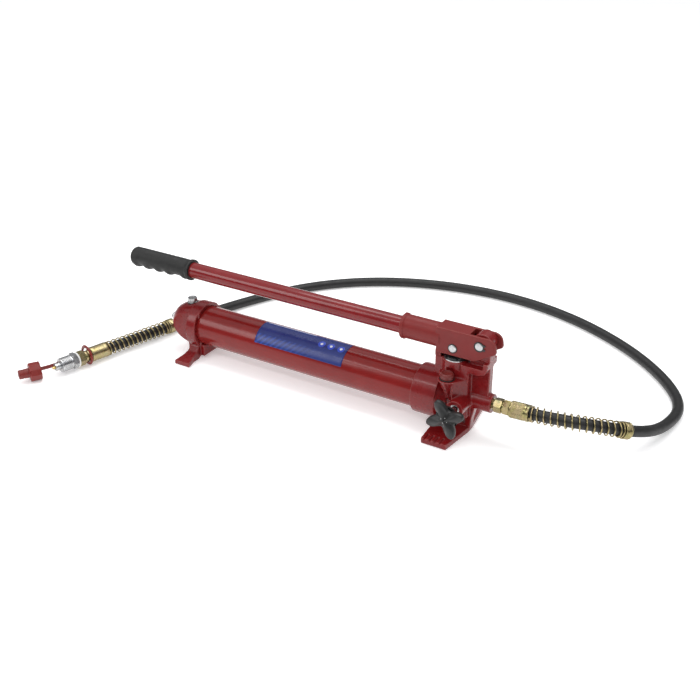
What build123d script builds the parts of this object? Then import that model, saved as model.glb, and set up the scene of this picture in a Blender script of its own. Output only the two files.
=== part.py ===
"""Hand pump for hydraulics: a reservoir tube with a cast pump head, a long handle and a hose.

X runs along the reservoir towards the hose outlet, Z is up, and the origin is on the
floor under the plunger's axis. Millimetres.
"""

from build123d import *
from math import radians, tan
import os

os.makedirs("parts", exist_ok=True)

# --- driving dimensions ---------------------------------------------------------------
axis_z = 46.0  # height of the reservoir's axis
tube_radius = 30.0
tube_wall = 2.5
tube_left = -421.0
tube_right = -24.0
collar_radius = 35.0
collar_left = -50.0
wall_right = -14.0  # outer face of the wall that closes the head's collar
shoulder_right = -2.0
slip = 0.05  # radial running clearance
gap = 0.3  # clearance between bodies that don't guide each other

pin_line_z = 124.0  # plunger pin at rest
pivot_x = 37.0
pivot_z = 136.3
pin_radius = 5.6
web_half = 6.0  # half thickness of the post and of the foot's web
cheek_half = 13.0  # half width of the yoke
post_half = 9.0  # half thickness of the post's round head
slot_half = 9.4  # half width of the yoke's slot
yoke_top = 149.8
handle_z = 132.5
handle_radius = 12.0
grip_right = -438.0

boss_radius = 17.8
boss_top = 106.0
plunger_radius = 6.0
bore_bottom = 64.0
gland_radius = 13.0
gland_bottom = 92.0

outlet_z = 51.0
outlet_end = 57.0
outlet_radius = 13.0
release_x = 19.0
release_end = -40.0
release_radius = 12.0
relief_y = -25.5
relief_top = 85.0
relief_seat = 68.0
ball_radius = 4.0
check_x = 13.5  # discharge valve
check_seat = 50.0
suction_seat = 44.0
filler_x = -444.5

hose_radius = 7.75
ferrule_radius = 11.5
ferrule_left = 82.0
spring_inner = 9.2
spring_outer = 11.2
tail_start = Vector(-512.4, 16, 11.8)  # where the hose's far spring begins
tail_dir = Vector(-0.2586, -0.9658, 0.0177).normalized()
# distances along the hose's tail from tail_start
tail_ferrule = 116.0
tail_neck = 145.0
tail_hex = 155.0
washer_start = 165.5
coupler_hex = 168.0
coupler_barrel = 176.0
coupler_nose = 194.3
coupler_end = 203.0
poppet_start = 195.0
poppet_end = 206.5
poppet_radius = 2.1

across = Plane.YZ  # sketches square to the reservoir
side = Plane.XZ  # sketches seen from the front, normal towards -Y
tail = Plane(origin=tail_start, x_dir=(0, 0, 1), z_dir=tail_dir)

tube_line = Axis((0, 0, axis_z), (1, 0, 0))
pivot = (pivot_x, pivot_z)

hose_route = [
    Vector(109, 0, 52),
    Vector(152, 3, 53.5),
    Vector(199, 24, 47.5),
    Vector(238, 66, 28.5),
    Vector(255, 122, 10.5),
    Vector(262, 190, 8),
    Vector(220, 258, 8),
    Vector(140, 328, 8),
    Vector(30, 384, 8),
    Vector(-90, 407, 8),
    Vector(-212, 392, 8),
    Vector(-322, 345, 8),
    Vector(-408, 268, 8),
    Vector(-462, 170, 8),
    Vector(-496, 70, 10.5),
    tail_start + tail_dir * 37,
    tail_start + tail_dir * tail_ferrule,
]


def save(piece, name):
    """Labels a finished piece and writes its STEP file."""
    piece.part.label = name
    export_step(piece.part, f"parts/{name}.step")


def corner_radii(route):
    """The largest even bend at each corner of a route: 0.45 of its shorter run."""
    radii = []
    for before, here, after in zip(route, route[1:], route[2:]):
        turn = (here - before).get_angle(after - here)
        shorter = min((here - before).length, (after - here).length)
        radii.append(0.45 * shorter / tan(radians(turn) / 2))
    return radii


def bar(plane, radius, start, end, bore=0.0):
    """A round bar or ring along a plane's normal, between two offsets."""
    with BuildPart() as piece:
        with BuildSketch(plane.offset(start)):
            Circle(radius)
            if bore:
                Circle(bore, mode=Mode.SUBTRACT)
        extrude(amount=end - start)
    return piece


def hexagon(plane, flats, start, end, bore=0.0):
    """A hexagonal prism along a plane's normal, with its corners chamfered."""
    with BuildPart() as piece:
        with BuildSketch(plane.offset(start)):
            RegularPolygon(flats / 2, 6, major_radius=False)
            if bore:
                Circle(bore, mode=Mode.SUBTRACT)
        extrude(amount=end - start)
        with BuildSketch(plane.offset(start)):
            Circle(flats * 0.56)
        extrude(amount=end - start, mode=Mode.INTERSECT)
    return piece


# --- pump head casting ------------------------------------------------------------------
release_plane = Plane(origin=(release_x, 0, outlet_z), x_dir=(1, 0, 0), z_dir=(0, -1, 0))
outlet_plane = Plane(origin=(0, 0, outlet_z), x_dir=(0, 1, 0), z_dir=(1, 0, 0))
relief_plane = Plane(origin=(0, relief_y, 0))
check_plane = Plane(origin=(check_x, 0, 0))

foot_length = 62.0
foot_height = 8.0
post_radius = 14.5
head_x = 39.5  # centre and radius of the post's round head
head_z = 138.8
head_radius = 14.2
post_left = pivot_x - post_radius
post_right = pivot_x + post_radius
tray_floor = 105.0
tray_bottom = 96.0
tray_top = 114.5
tray_half = 16.0
upright_left = 45.0
stop_left = -27.0
stop_right = -15.0
stop_top = 105.2

with BuildPart() as pump_body:
    # collar that holds the reservoir
    with BuildSketch(across.offset(collar_left)):
        with Locations((0, axis_z)):
            Circle(collar_radius)
    extrude(amount=wall_right - collar_left)
    # valve block under the plunger
    with BuildSketch(Plane.XY.offset(26)):
        with Locations((4, 0)):
            RectangleRounded(44, 34, 5)
    extrude(amount=60)
    with BuildSketch(Plane.XY.offset(40)):
        Circle(boss_radius)
    extrude(amount=boss_top - 40)
    # shoulder between the collar and the block
    with BuildPart(mode=Mode.PRIVATE) as shoulder:
        with BuildSketch(side):
            with BuildLine():
                Polyline(
                    (wall_right - 1, axis_z),
                    (wall_right - 1, axis_z + 33),
                    (wall_right, axis_z + 33),
                    (shoulder_right, axis_z + 24),
                    (shoulder_right, axis_z),
                    close=True,
                )
            make_face()
        revolve(axis=tube_line)
        with BuildSketch(Plane.XY):
            Rectangle(100, 100)
        extrude(amount=28, mode=Mode.SUBTRACT)
    add(shoulder.part)
    # column under the trays, and the web that ties it to the relief valve's boss
    with BuildSketch(Plane.XY.offset(80)):
        with Locations((17, 0)):
            Rectangle(18, 2 * tray_half)
    extrude(amount=tray_bottom - 80)
    with BuildSketch(Plane.XY.offset(60)):
        with BuildLine():
            Polyline((24, -16), (24, -8), (8, -8), (2, -20), (11, -33), close=True)
        make_face()
    extrude(amount=relief_top - 60)
    # post that carries the yoke
    with BuildSketch(side.offset(-web_half)):
        with BuildLine():
            Polyline(
                (post_left, head_z),
                (post_left, tray_floor),
                (8, tray_floor),
                (8, 50),
                (post_right, 50),
                (post_right, head_z),
                close=True,
            )
        make_face()
    extrude(amount=2 * web_half)
    # its wider round head
    with BuildSketch(side.offset(-post_half)):
        with Locations((head_x, head_z)):
            Circle(head_radius)
        with BuildLine():
            Polyline(
                (head_x - head_radius, head_z),
                (head_x - head_radius, tray_top),
                (post_right, tray_top),
                (post_right, head_z),
                close=True,
            )
        make_face()
    extrude(amount=2 * post_half)
    # web down to the foot
    with BuildSketch(side.offset(-web_half)):
        with BuildLine():
            Polyline((-20, 0), (27, 0), (29, 20), (34, 44), (-20, 44), close=True)
        make_face()
    extrude(amount=2 * web_half)
    # arch that leaves room for the plugs under the block
    with BuildSketch(side.offset(-web_half)):
        with BuildLine():
            Polyline((-10, 12), (20, 12), (20, 26), (-10, 26), close=True)
        make_face()
    extrude(amount=2 * web_half, mode=Mode.SUBTRACT)
    # foot
    with BuildSketch(Plane.XY):
        with BuildLine():
            Polyline(
                (-17.5, -foot_length),
                (19.5, -foot_length),
                (27, -6),
                (27, 6),
                (19.5, foot_length),
                (-17.5, foot_length),
                (-22, 6),
                (-22, -6),
                close=True,
            )
        make_face()
    extrude(amount=foot_height)
    # trays that stop the yoke's cheeks
    with BuildSketch(side.offset(-tray_half)):
        with BuildLine():
            Polyline(
                (14, tray_bottom),
                (40, tray_bottom),
                (48, tray_floor - 6),
                (post_right, tray_floor + 1),
                (post_right, tray_top),
                (upright_left, tray_top),
                (upright_left, tray_floor),
                (14, tray_floor),
                close=True,
            )
        make_face()
    extrude(amount=2 * tray_half)
    # stop under the yoke's chin
    with BuildSketch(side.offset(-8)):
        with BuildLine():
            Polyline(
                (stop_left, 70),
                (stop_right, 70),
                (stop_right, stop_top),
                (stop_left, stop_top),
                close=True,
            )
        make_face()
    extrude(amount=16)
    # boss of the relief valve, narrowing downwards
    with BuildSketch(relief_plane.offset(relief_top)):
        Circle(12.7)
    with BuildSketch(relief_plane.offset(52)):
        with Locations((4, 6)):
            Circle(4)
    loft()
    # bosses of the release valve and the outlet
    with BuildSketch(release_plane):
        Circle(release_radius)
    extrude(amount=-release_end)
    with BuildSketch(outlet_plane.offset(10)):
        Circle(outlet_radius)
    extrude(amount=outlet_end - 10)

    # socket for the reservoir and its gasket
    with BuildSketch(across.offset(collar_left)):
        with Locations((0, axis_z)):
            Circle(tube_radius)
    extrude(amount=-22 - collar_left, mode=Mode.SUBTRACT)
    # tie rod's hole
    with BuildSketch(across.offset(-22)):
        with Locations((0, axis_z)):
            Circle(4)
    extrude(amount=10, mode=Mode.SUBTRACT)
    # plunger's bore and the gland's
    with BuildSketch(Plane.XY.offset(bore_bottom)):
        Circle(plunger_radius + slip)
    extrude(amount=boss_top - bore_bottom, mode=Mode.SUBTRACT)
    with BuildSketch(Plane.XY.offset(gland_bottom)):
        Circle(gland_radius)
    extrude(amount=boss_top - gland_bottom, mode=Mode.SUBTRACT)
    with BuildSketch(Plane.XY.offset(gland_bottom - 6)):
        Circle(9)
    extrude(amount=6, mode=Mode.SUBTRACT)
    # suction valve: chamber from below, throat, and port to the reservoir
    with BuildSketch(Plane.XY.offset(26)):
        Circle(5.5)
    extrude(amount=30, mode=Mode.SUBTRACT)
    with BuildSketch(Plane.XY.offset(56)):
        Circle(2.5)
    extrude(amount=8, mode=Mode.SUBTRACT)
    with BuildSketch(across.offset(-22)):
        with Locations((0, 36)):
            Circle(2)
    extrude(amount=18, mode=Mode.SUBTRACT)
    # discharge valve: chamber from below, throat, and port from the plunger's bore
    with BuildSketch(check_plane.offset(26)):
        Circle(4.6)
    extrude(amount=24, mode=Mode.SUBTRACT)
    with BuildSketch(check_plane.offset(50)):
        Circle(2)
    extrude(amount=17, mode=Mode.SUBTRACT)
    with BuildSketch(across.offset(6)):
        with Locations((0, 67)):
            Circle(2)
    extrude(amount=check_x - 6, mode=Mode.SUBTRACT)
    # outlet: a port from the discharge chamber and a threaded mouth
    with BuildSketch(across.offset(check_x)):
        with Locations((0, 46)):
            Circle(2.5)
    extrude(amount=43 - check_x, mode=Mode.SUBTRACT)
    with BuildSketch(outlet_plane.offset(42)):
        Circle(8)
    extrude(amount=outlet_end - 42, mode=Mode.SUBTRACT)
    # release valve's bore, and its port back to the reservoir
    with BuildSketch(release_plane.offset(3)):
        Circle(3)
    extrude(amount=15, mode=Mode.SUBTRACT)
    with BuildSketch(across.offset(-22)):
        with Locations((-14, outlet_z)):
            Circle(1.5)
    extrude(amount=release_x + 22, mode=Mode.SUBTRACT)
    with BuildSketch(release_plane.offset(18)):
        Circle(6.5)
    extrude(amount=-release_end - 18, mode=Mode.SUBTRACT)
    # relief valve's bore
    with BuildSketch(relief_plane.offset(relief_seat)):
        Circle(5)
    extrude(amount=relief_top - relief_seat, mode=Mode.SUBTRACT)
    with BuildSketch(relief_plane.offset(relief_top)):
        Circle(10.6)
    extrude(amount=12, mode=Mode.SUBTRACT)
    with BuildSketch(relief_plane.offset(relief_seat - 4)):
        Circle(1.8)
    extrude(amount=4, mode=Mode.SUBTRACT)
    with BuildSketch(side.offset(4)):
        with Locations((0, relief_seat - 2)):
            Circle(1.5)
    extrude(amount=-relief_y - 4, mode=Mode.SUBTRACT)
    # pivot's bore through the post
    with BuildSketch(side.offset(-post_half)):
        with Locations((pivot_x, pivot_z)):
            Circle(pin_radius + slip)
    extrude(amount=2 * post_half, mode=Mode.SUBTRACT)
    # grip ridges at both ends of the foot
    for end in (-1, 1):
        with BuildSketch(Plane.XY.offset(foot_height - 2)):
            with Locations(*[(x, end * (foot_length - 7)) for x in (-12, -4.5, 3, 10.5)]):
                Rectangle(3, 14)
        extrude(amount=2, mode=Mode.SUBTRACT)
save(pump_body, "pump_body")

# --- reservoir -------------------------------------------------------------------------------
barrel = Plane(origin=(0, 0, axis_z), x_dir=(0, 1, 0), z_dir=(1, 0, 0))

reservoir_tube = bar(barrel, tube_radius, tube_left, tube_right, tube_radius - tube_wall)
save(reservoir_tube, "reservoir_tube")
front_gasket = bar(barrel, tube_radius, tube_right, -22, tube_radius - tube_wall)
save(front_gasket, "front_gasket")

cap_right = -415.0
cap_lip = -433.0
dome_tip = -474.0
cap_radius = 36.0
dome_radius = 34.8
seat_left = tube_left - 2  # face that the tube and its gasket press on

with BuildPart() as end_cap:
    with BuildSketch(side):
        with BuildLine():
            Line((cap_right, axis_z), (cap_right, axis_z + cap_radius))
            Line((cap_right, axis_z + cap_radius), (cap_lip, axis_z + cap_radius))
            Line((cap_lip, axis_z + cap_radius), (cap_lip, axis_z + dome_radius))
            Spline(
                (cap_lip, axis_z + dome_radius),
                (-462, axis_z + 26.5),
                (dome_tip, axis_z + 10),
                tangents=[(-1, -0.12), (-0.12, -1)],
            )
            Line((dome_tip, axis_z + 10), (dome_tip, axis_z))
            Line((dome_tip, axis_z), (cap_right, axis_z))
        make_face()
    revolve(axis=tube_line)
    # rear foot: a flared plate on a leg
    with BuildSketch(across.offset(-440)):
        with BuildLine():
            Polyline(
                (-59, 0), (-59, 6), (-34, 13), (-24, 22), (24, 22),
                (34, 13), (59, 6), (59, 0), (26, 0), (22, 4), (-22, 4), (-26, 0),
                close=True,
            )
        make_face()
    extrude(amount=30)
    with BuildSketch(Plane.XY):
        with BuildLine():
            Polyline(
                (-439.5, -59), (-411.5, -59), (-416, -42), (-417, -24), (-415.5, 0),
                (-417, 24), (-416, 42), (-411.5, 59), (-439.5, 59), (-434, 42),
                (-433, 24), (-433, -24), (-434, -42),
                close=True,
            )
        make_face()
        with Locations((-440, 0)):
            Rectangle(90, 46)
    extrude(amount=100, mode=Mode.INTERSECT)
    # cavity, seat for the tube, tie rod's hole and filler hole
    with BuildSketch(barrel.offset(seat_left)):
        Circle(tube_radius)
    extrude(amount=20, mode=Mode.SUBTRACT)
    with BuildSketch(barrel.offset(seat_left)):
        Circle(26)
    extrude(amount=-24, taper=24, mode=Mode.SUBTRACT)
    with BuildSketch(barrel.offset(-490)):
        Circle(4.3)
    extrude(amount=90, mode=Mode.SUBTRACT)
    with BuildSketch(Plane(origin=(filler_x, 0, 60))):
        Circle(4)
    extrude(amount=30, mode=Mode.SUBTRACT)
    with BuildSketch(Plane(origin=(filler_x, 0, 77))):
        Circle(8.5)
    extrude(amount=12, mode=Mode.SUBTRACT)
save(end_cap, "end_cap")
rear_gasket = bar(barrel, tube_radius, seat_left, tube_left, 26.5)
save(rear_gasket, "rear_gasket")

tie_rod = bar(barrel, 4, -486, -12)
save(tie_rod, "tie_rod")
tie_rod_washer = bar(barrel, 9, dome_tip - 1.6, dome_tip, 4)
save(tie_rod_washer, "tie_rod_washer")
tie_rod_nut = hexagon(barrel, 13, dome_tip - 8.1, dome_tip - 1.6, bore=4)
save(tie_rod_nut, "tie_rod_nut")

filler_plane = Plane(origin=(filler_x, 0, 0))
filler_seal = bar(filler_plane, 8, 77.0, 78.8, bore=4.1)
save(filler_seal, "filler_seal")
with BuildPart() as filler_plug:
    with BuildSketch(filler_plane.offset(66)):
        Circle(4 - slip)
    extrude(amount=13)
    with BuildSketch(filler_plane.offset(78.9)):
        Circle(7.6)
    extrude(amount=1.4)
    with BuildSketch(filler_plane.offset(80.3)):
        RegularPolygon(6.5, 6, major_radius=False)
    extrude(amount=5.7)
    with BuildSketch(filler_plane.offset(66)):
        Circle(7.6)
    extrude(amount=21, mode=Mode.INTERSECT)
save(filler_plug, "filler_plug")

suction_pipe = bar(
    Plane(origin=(0, 0, 36), x_dir=(0, 1, 0), z_dir=(1, 0, 0)), 2, -46, -16, bore=1.2
)
save(suction_pipe, "suction_pipe")

label_left = -310.0
label_right = -162.0
label_low = 22.5  # degrees above the horizontal, from the front
label_high = 104.0

with BuildPart() as label:
    with BuildSketch(barrel.offset(label_left)):
        with BuildLine():
            for radius in (tube_radius, tube_radius + 0.25):
                CenterArc((0, 0), radius, 180 - label_high, label_high - label_low)
            for angle in (180 - label_low, 180 - label_high):
                Line(
                    Vector(tube_radius, 0).rotate(Axis.Z, angle),
                    Vector(tube_radius + 0.25, 0).rotate(Axis.Z, angle),
                )
        make_face()
    extrude(amount=label_right - label_left)
save(label, "label")

# --- valves inside the head --------------------------------------------------------------------
with BuildPart() as suction_plug:
    with BuildSketch(Plane.XY.offset(26)):
        Circle(5.5)
    extrude(amount=7)
    with BuildSketch(Plane.XY.offset(23)):
        RegularPolygon(6.5, 6, major_radius=False)
    extrude(amount=3)
save(suction_plug, "suction_plug")
suction_ring = bar(Plane.XY, 5.5, suction_seat - 4, suction_seat, bore=2)
save(suction_ring, "suction_seat")
with BuildPart() as suction_ball:
    with Locations((0, 0, suction_seat + 3.5)):
        Sphere(ball_radius)
save(suction_ball, "suction_ball")

with BuildPart() as discharge_plug:
    with BuildSketch(check_plane.offset(26)):
        Circle(4.6)
    extrude(amount=7)
    with BuildSketch(check_plane.offset(23)):
        RegularPolygon(5, 6, major_radius=False)
    extrude(amount=3)
save(discharge_plug, "discharge_plug")
with BuildPart() as discharge_ball:
    with Locations((check_x, 0, check_seat - 3.5)):
        Sphere(ball_radius)
save(discharge_ball, "discharge_ball")
discharge_spring = bar(check_plane, 3.6, 33, check_seat - 6.7, bore=2.6)
save(discharge_spring, "discharge_spring")

with BuildPart() as relief_ball:
    with Locations((0, relief_y, relief_seat + 2.45)):
        Sphere(3)
save(relief_ball, "relief_ball")
relief_spring = bar(relief_plane, 3.6, relief_seat + 4.4, 79, bore=2.4)
save(relief_spring, "relief_spring")
relief_screw = bar(relief_plane, 5, 79, 83.6, bore=1.8)
save(relief_screw, "relief_screw")
relief_face = relief_top + 1.4  # top of the seal
relief_seal = bar(relief_plane, 10, relief_top, relief_face, bore=5)
save(relief_seal, "relief_seal")
with BuildPart() as relief_cap:
    with BuildSketch(relief_plane.offset(83.6)):
        Circle(5)
    extrude(amount=2.8)
    with BuildSketch(relief_plane.offset(relief_face)):
        Circle(9.2)
    extrude(amount=7.6)
save(relief_cap, "relief_cap")

# --- plunger and its gland -----------------------------------------------------------------------
eye_radius = 11.0
eye_half = 6.0
pin_play = 0.25  # clearance of the pin in the plunger's slot
slot_shift = -0.6
slot_travel = 3.2

plunger_seal = bar(Plane.XY, 9, gland_bottom - 6, gland_bottom, bore=plunger_radius + slip)
save(plunger_seal, "plunger_seal")
flange_z = boss_top + 1.3  # underside of the gland nut's flange, on its washer
gland_washer = bar(Plane.XY, 16.4, boss_top, flange_z, bore=gland_radius)
save(gland_washer, "gland_washer")
with BuildPart() as gland_nut:
    with BuildSketch(Plane.XY.offset(gland_bottom)):
        Circle(gland_radius)
    extrude(amount=flange_z - gland_bottom)
    with BuildSketch(Plane.XY.offset(flange_z)):
        Circle(15)
    extrude(amount=3.0)
    with BuildSketch(Plane.XY.offset(gland_bottom)):
        Circle(plunger_radius + slip)
    extrude(amount=30, mode=Mode.SUBTRACT)
    with BuildSketch(Plane.XY.offset(flange_z + 1)):
        with PolarLocations(13.8, 6):
            Circle(1.9)
    extrude(amount=4, mode=Mode.SUBTRACT)
save(gland_nut, "gland_nut")

with BuildPart() as plunger:
    with BuildSketch(Plane.XY.offset(bore_bottom + 2)):
        Circle(plunger_radius)
    extrude(amount=pin_line_z - bore_bottom - 2)
    with BuildSketch(side.offset(-eye_half)):
        with Locations((0, pin_line_z)):
            Circle(eye_radius)
    extrude(amount=2 * eye_half)
    with BuildSketch(side.offset(-eye_half)):
        with Locations((slot_shift, pin_line_z)):
            SlotCenterToCenter(slot_travel, 2 * (pin_radius + pin_play))
    extrude(amount=2 * eye_half, mode=Mode.SUBTRACT)
save(plunger, "plunger")

# --- yoke and handle ---------------------------------------------------------------------------------
yoke_bottom = 113.3
socket_left = -79.0
socket_floor = -28.0
sleeve_end = -548.0  # where the handle tube ends inside the grip
handle_plane = Plane(origin=(0, 0, handle_z), x_dir=(0, 1, 0), z_dir=(1, 0, 0))

with BuildPart() as yoke:
    with BuildSketch(side.offset(-cheek_half)):
        with BuildLine():
            FilletPolyline(
                (-24.5, yoke_bottom),
                (-24.5, yoke_top),
                (58, yoke_top),
                (61.4, 131),
                (31, yoke_bottom),
                radius=(0.5, 0.5, 12, 5, 8),
                close=True,
            )
        make_face()
    extrude(amount=2 * cheek_half)
    with BuildSketch(handle_plane.offset(socket_left)):
        Ellipse(14.6, 17)
    extrude(amount=-20 - socket_left)
    with BuildSketch(handle_plane.offset(socket_left)):
        Ellipse(16, 18.4)
    extrude(amount=5)
    # chin that rests on the casting's stop
    with BuildSketch(Plane.XY.offset(stop_top + gap)):
        with Locations((-22.7, 0)):
            Rectangle(8.6, 18)
    extrude(amount=10)
    # flat along the socket's top
    with BuildSketch(Plane.XY.offset(yoke_top)):
        Rectangle(300, 60)
    extrude(amount=20, mode=Mode.SUBTRACT)
    with BuildSketch(handle_plane.offset(socket_left)):
        Circle(handle_radius)
    extrude(amount=socket_floor - socket_left, mode=Mode.SUBTRACT)
    # gap between the cheeks, closed above the plunger and open at the nose
    with BuildSketch(side.offset(-slot_half)):
        with BuildLine():
            Polyline(
                (-14, 100), (-14, 142), (22, 142), (22, 160), (80, 160), (80, 100), close=True
            )
        make_face()
    extrude(amount=2 * slot_half, mode=Mode.SUBTRACT)
    with BuildSketch(side.offset(-cheek_half)):
        with Locations(pivot, (0, pin_line_z)):
            Circle(pin_radius)
    extrude(amount=2 * cheek_half, mode=Mode.SUBTRACT)
save(yoke, "yoke")

pin_half = 14.4
pivot_plane = Plane(origin=(pivot_x, 0, pivot_z), x_dir=(1, 0, 0), z_dir=(0, -1, 0))
plunger_pin_plane = Plane(origin=(0, 0, pin_line_z), x_dir=(1, 0, 0), z_dir=(0, -1, 0))
pivot_pin = bar(pivot_plane, pin_radius, -pin_half, pin_half)
save(pivot_pin, "pivot_pin")
plunger_pin = bar(plunger_pin_plane, pin_radius, -pin_half, pin_half)
save(plunger_pin, "plunger_pin")
with BuildPart() as circlips:
    for plane, start in (
        (pivot_plane, cheek_half),
        (pivot_plane, -cheek_half - 0.9),
        (plunger_pin_plane, -cheek_half - 0.9),
    ):
        with BuildSketch(plane.offset(start)):
            Circle(7)
            with Locations((7.1, 2.9), (7.1, -2.9)):
                Circle(1.7)
            Circle(pin_radius, mode=Mode.SUBTRACT)
            with Locations((8, 0)):
                Rectangle(8, 2.6, mode=Mode.SUBTRACT)
        extrude(amount=0.9)
save(circlips, "circlips")

handle_tube = bar(handle_plane, handle_radius, sleeve_end, socket_floor, bore=9.5)
save(handle_tube, "handle_tube")
with BuildPart() as handle_grip:
    with BuildSketch(side):
        with BuildLine():
            Line((grip_right, handle_z + handle_radius), (grip_right, handle_z + 16))
            Line((grip_right, handle_z + 16), (grip_right - 4, handle_z + 16))
            Spline(
                (grip_right - 4, handle_z + 16),
                (grip_right - 12, handle_z + 14.2),
                (grip_right - 95, handle_z + 14.6),
                (-552, handle_z + 11),
            )
            Line((-552, handle_z + 11), (-554, handle_z + 8))
            Line((-554, handle_z + 8), (-554, handle_z))
            Line((-554, handle_z), (sleeve_end, handle_z))
            Line((sleeve_end, handle_z), (sleeve_end, handle_z + handle_radius))
            Line((sleeve_end, handle_z + handle_radius), (grip_right, handle_z + handle_radius))
        make_face()
    revolve(axis=Axis((0, 0, handle_z), (1, 0, 0)))
save(handle_grip, "handle_grip")

# --- release valve ---------------------------------------------------------------------------------------
ring_start = 27.0
ring_end = 29.2
knob_start = 58.0
knob_end = 74.0
with BuildPart() as release_spindle:
    with BuildSketch(release_plane.offset(10)):
        Circle(2.8)
    extrude(amount=8.4)
    with BuildSketch(release_plane.offset(18.4)):
        Circle(6.5 - slip)
    extrude(amount=19)
    with BuildSketch(release_plane.offset(37.4)):
        Circle(4.6)
    extrude(amount=knob_end - 3 - 37.4)
    with BuildSketch(release_plane.offset(ring_start - slip)):
        Circle(8)
        Circle(4.6, mode=Mode.SUBTRACT)
    extrude(amount=ring_end - ring_start + 2 * slip, mode=Mode.SUBTRACT)
save(release_spindle, "release_spindle")
release_ring = bar(release_plane, 6.5 - slip, ring_start, ring_end, bore=4.6 + slip)
save(release_ring, "release_ring")
with BuildPart() as release_knob:
    with BuildSketch(release_plane.offset(knob_start)):
        Circle(14.5)
    extrude(amount=8)
    with BuildSketch(release_plane.offset(knob_start)):
        Circle(10)
    extrude(amount=knob_end - knob_start)
    with BuildSketch(release_plane.offset(knob_start + 4)):
        with PolarLocations(17, 4, start_angle=25):
            Ellipse(11.5, 7)
    extrude(amount=8)
    with BuildSketch(release_plane.offset(knob_start)):
        Circle(4.6)
    extrude(amount=knob_end - 3 - knob_start, mode=Mode.SUBTRACT)
save(release_knob, "release_knob")

# --- hose, fitted at the outlet ------------------------------------------------------------------------------
outlet_seal = bar(outlet_plane, 8, 42, 43.2, bore=3)
save(outlet_seal, "outlet_seal")
with BuildPart() as outlet_nipple:
    with BuildSketch(outlet_plane.offset(43.2)):
        Circle(8)
    extrude(amount=outlet_end - 43.2)
    with BuildSketch(outlet_plane.offset(outlet_end)):
        Circle(6.5)
    extrude(amount=3)
    with BuildSketch(outlet_plane.offset(outlet_end + 3)):
        RegularPolygon(9, 6, major_radius=False)
    extrude(amount=11)
    with BuildSketch(outlet_plane.offset(40)):
        Circle(3)
    extrude(amount=40, mode=Mode.SUBTRACT)
save(outlet_nipple, "outlet_nipple")
with BuildPart() as hose_nut:
    with BuildSketch(outlet_plane.offset(outlet_end + 14)):
        Circle(7.5)
        Circle(3, mode=Mode.SUBTRACT)
    extrude(amount=2)
    with BuildSketch(outlet_plane.offset(outlet_end + 16)):
        RegularPolygon(9.5, 6, major_radius=False)
        Circle(3, mode=Mode.SUBTRACT)
    extrude(amount=ferrule_left - outlet_end - 16)
save(hose_nut, "hose_nut")
hose_start = Plane(origin=hose_route[0], x_dir=(0, 1, 0), z_dir=hose_route[1] - hose_route[0])
with BuildPart() as outlet_ferrule:
    with BuildSketch(outlet_plane.offset(ferrule_left)):
        Circle(ferrule_radius)
    with BuildSketch(hose_start):
        Circle(ferrule_radius)
    loft()
save(outlet_ferrule, "outlet_ferrule")

radii = corner_radii(hose_route)
print("hose corner radii", [round(r) for r in radii])
with BuildPart() as hose:
    with BuildLine():
        FilletPolyline(*hose_route, radius=radii)
    with BuildSketch(hose_start):
        Circle(hose_radius)
    sweep()
save(hose, "hose")
spring_end = hose_route[2] + (hose_route[3] - hose_route[2]) * 0.48
with BuildPart() as outlet_spring:
    with BuildLine():
        FilletPolyline(*hose_route[:3], spring_end, radius=radii[:2])
    with BuildSketch(hose_start):
        Circle(spring_outer)
        Circle(spring_inner, mode=Mode.SUBTRACT)
    sweep()
save(outlet_spring, "outlet_spring")
outlet_sleeve = bar(
    Plane(origin=spring_end, z_dir=hose_route[3] - hose_route[2]), 11.6, 0, 11, bore=hose_radius + gap
)
save(outlet_sleeve, "outlet_sleeve")

# --- hose's far end -----------------------------------------------------------------------------------------------
tail_sleeve = bar(tail, 11.6, -8, 3, bore=hose_radius + 1)
save(tail_sleeve, "tail_sleeve")
tail_spring = bar(tail, spring_outer, 3, tail_ferrule, bore=spring_inner)
save(tail_spring, "tail_spring")
tail_ferrule_piece = bar(tail, ferrule_radius, tail_ferrule, tail_neck)
save(tail_ferrule_piece, "tail_ferrule")
with BuildPart() as tail_stem:
    with BuildSketch(tail.offset(tail_neck)):
        Circle(8.5)
    extrude(amount=tail_hex - tail_neck)
    with BuildSketch(tail.offset(tail_hex)):
        RegularPolygon(10, 6, major_radius=False)
    extrude(amount=washer_start - tail_hex)
save(tail_stem, "tail_stem")
coupler_washer = bar(tail, 11.3, washer_start, coupler_hex)
save(coupler_washer, "coupler_washer")
with BuildPart() as coupler_body:
    with BuildSketch(tail.offset(coupler_hex)):
        RegularPolygon(11, 6, major_radius=False)
    extrude(amount=coupler_barrel - coupler_hex)
    with BuildSketch(tail.offset(coupler_barrel)):
        Circle(11)
    extrude(amount=coupler_nose - coupler_barrel)
    with BuildSketch(tail.offset(coupler_nose)):
        Circle(5.6)
    extrude(amount=coupler_end - coupler_nose)
    with BuildSketch(tail.offset(poppet_start - 5)):
        Circle(poppet_radius + slip)
    extrude(amount=coupler_end + 5 - poppet_start, mode=Mode.SUBTRACT)
save(coupler_body, "coupler_body")
coupler_poppet = bar(tail, poppet_radius, poppet_start, poppet_end)
save(coupler_poppet, "coupler_poppet")
# the strap's loop is wider than the neck it hangs on, and held up by the strap
with BuildPart() as cap_ring:
    with BuildSketch(tail.offset(tail_neck + 2.3)):
        with Locations((1.7, 0)):
            Circle(15.7)
            Circle(10.4, mode=Mode.SUBTRACT)
    extrude(amount=3)
save(cap_ring, "cap_ring")

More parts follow.
